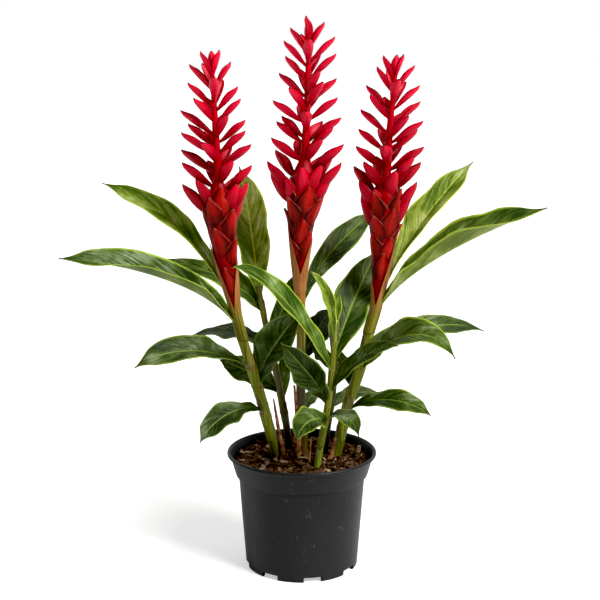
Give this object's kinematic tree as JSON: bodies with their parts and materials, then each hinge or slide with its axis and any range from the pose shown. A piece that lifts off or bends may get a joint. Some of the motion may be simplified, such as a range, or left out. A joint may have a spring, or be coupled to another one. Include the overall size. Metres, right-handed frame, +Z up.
{
  "type": "potted red ginger plant",
  "caption": "Potted red ginger: leafy canes with upright red flower spikes of overlapping bracts, in a black plastic nursery pot of soil.",
  "frame": {"origin": "middle of the pot's flat base, on the surface it stands on", "axes": "+Z up along the pot's axis, +X to the right and +Y away from a viewer at the front"},
  "size_m": [0.5217, 0.2109, 0.613],
  "materials": {
    "pot_plastic": "satin, lightly scuffed",
    "potting_mix": "matte, crumbly",
    "red_bract": "waxy satin",
    "dry_husk": "matte",
    "flowering_cane": "satin",
    "young_cane": "satin",
    "shaded_cane": "satin",
    "leaf_bright": "waxy satin",
    "leaf_green": "waxy satin",
    "leaf_dark": "glossy"
  },
  "bodies": {
    "root": {"bloom_left": "red_bract", "bloom_middle": "red_bract", "bloom_right": "red_bract", "dry_sheath_back": "dry_husk", "dry_sheath_middle": "dry_husk", "dry_sheath_right": "dry_husk", "dry_stalk_front": "dry_husk", "dry_stalk_left": "dry_husk", "leaf_back_right": "leaf_dark", "leaf_behind_centre": "leaf_dark", "leaf_centre_back": "leaf_green", "leaf_dark_front": "leaf_dark", "leaf_dark_left": "leaf_dark", "leaf_front_arch": "leaf_bright", "leaf_front_low_left": "leaf_green", "leaf_front_low_right": "leaf_green", "leaf_front_right": "leaf_green", "leaf_inner_left": "leaf_green", "leaf_inner_right": "leaf_dark", "leaf_left_back": "leaf_green", "leaf_left_hidden": "leaf_dark", "leaf_left_long": "leaf_green", "leaf_left_low": "leaf_dark", "leaf_left_middle": "leaf_dark", "leaf_left_shade": "leaf_dark", "leaf_left_top": "leaf_green", "leaf_low_back": "leaf_dark", "leaf_right_back": "leaf_green", "leaf_right_bright": "leaf_green", "leaf_right_far": "leaf_green", "leaf_right_light": "leaf_bright", "leaf_right_long": "leaf_green", "leaf_right_low": "leaf_green", "leaf_small_front": "leaf_dark", "leaf_small_low": "leaf_dark", "leaf_spear": "leaf_bright", "leaf_tall_back": "leaf_green", "leaf_young": "leaf_bright", "pot": "pot_plastic", "soil": "potting_mix", "stem_back_left": "shaded_cane", "stem_back_right": "shaded_cane", "stem_front": "young_cane", "stem_left": "flowering_cane", "stem_middle": "flowering_cane", "stem_right": "flowering_cane"}
  },
  "joints": []
}
